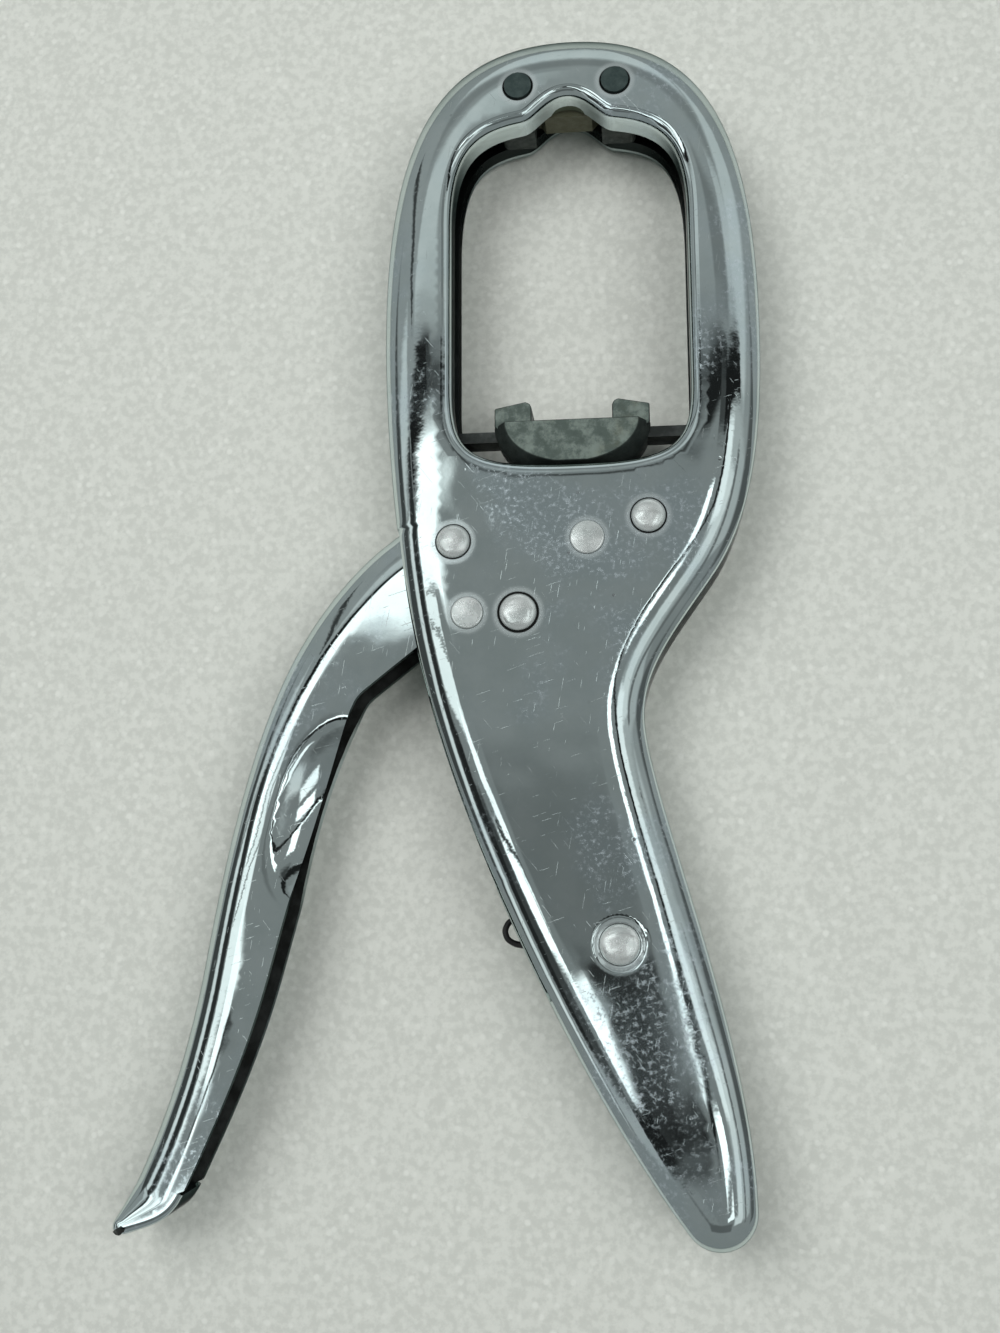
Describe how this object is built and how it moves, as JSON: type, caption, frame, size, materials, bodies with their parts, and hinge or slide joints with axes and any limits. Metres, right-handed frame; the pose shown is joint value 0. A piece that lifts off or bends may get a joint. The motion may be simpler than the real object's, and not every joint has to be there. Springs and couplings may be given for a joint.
{
  "type": "ratcheting nutcracker",
  "caption": "Hand nutcracker of pressed plated steel: a ring with a fixed and a sliding jaw, a curved handle, and a squeeze lever that drives the jaw by a ratchet.",
  "frame": {"origin": "on the flat rear face, on the jaw axis, at the middle of the neck", "axes": "+Y along the jaw axis towards the ring's crown, +Z out of the front shell, +X to the right seen from the front"},
  "size_m": [0.1026, 0.195, 0.0179],
  "materials": {
    "chrome": "bright plating with fine scratches",
    "rivet_steel": "dull plated rivet heads",
    "inner_steel": "plain oiled steel",
    "cast_jaw": "mottled dark grey die casting",
    "black_wire": "black spring wire"
  },
  "bodies": {
    "body": {"front_shell": "chrome", "rear_shell": "chrome", "upper_jaw": "cast_jaw", "lever_rivet": "rivet_steel", "lever_stop_rivet": "rivet_steel", "holding_pawl_rivet": "rivet_steel", "rack_guide_rivet": "rivet_steel", "side_rivet": "rivet_steel", "handle_rivet": "rivet_steel", "lever_stop_tube": "inner_steel", "rack_guide_roller": "inner_steel", "side_spacer": "inner_steel", "handle_spacer": "inner_steel", "pawl_tube_front": "inner_steel", "pawl_tube_rear": "inner_steel", "buffer_spring": "black_wire"},
    "jaw": {"moving_jaw": "cast_jaw", "jaw_guide_bar": "inner_steel", "rack_bar": "inner_steel", "rack_pin": "inner_steel"},
    "lever": {"lever": "chrome", "lever_bush": "inner_steel", "drive_pawl_pin": "inner_steel", "lever_return_spring": "inner_steel"},
    "drive_pawl": {"drive_pawl": "inner_steel", "drive_pawl_spring": "inner_steel"},
    "holding_pawl": {"holding_pawl": "inner_steel", "holding_pawl_spring": "inner_steel"}
  },
  "joints": [
    {"name": "jaw_slide", "type": "slide", "parent": "body", "child": "jaw", "axis": [0, 1, 0], "range_m": [0, 0.04464]},
    {"name": "lever_hinge", "type": "hinge", "parent": "body", "child": "lever", "pos_m": [-0.0189, 0.0258, 0.008], "axis": [0, 0, 1], "range_deg": [0, 33], "stiffness_Nm_per_rad": 0.1, "springref_deg": -17.19, "deforming": ["lever_return_spring"]},
    {"name": "drive_pawl_hinge", "type": "hinge", "parent": "lever", "child": "drive_pawl", "pos_m": [-0.01299, 0.01875, 0.008], "axis": [0, 0, 1], "range_deg": [-22, 0]},
    {"name": "holding_pawl_hinge", "type": "hinge", "parent": "body", "child": "holding_pawl", "pos_m": [-0.0086, 0.0141, 0.008], "axis": [0, 0, 1], "range_deg": [-22, 0]}
  ]
}
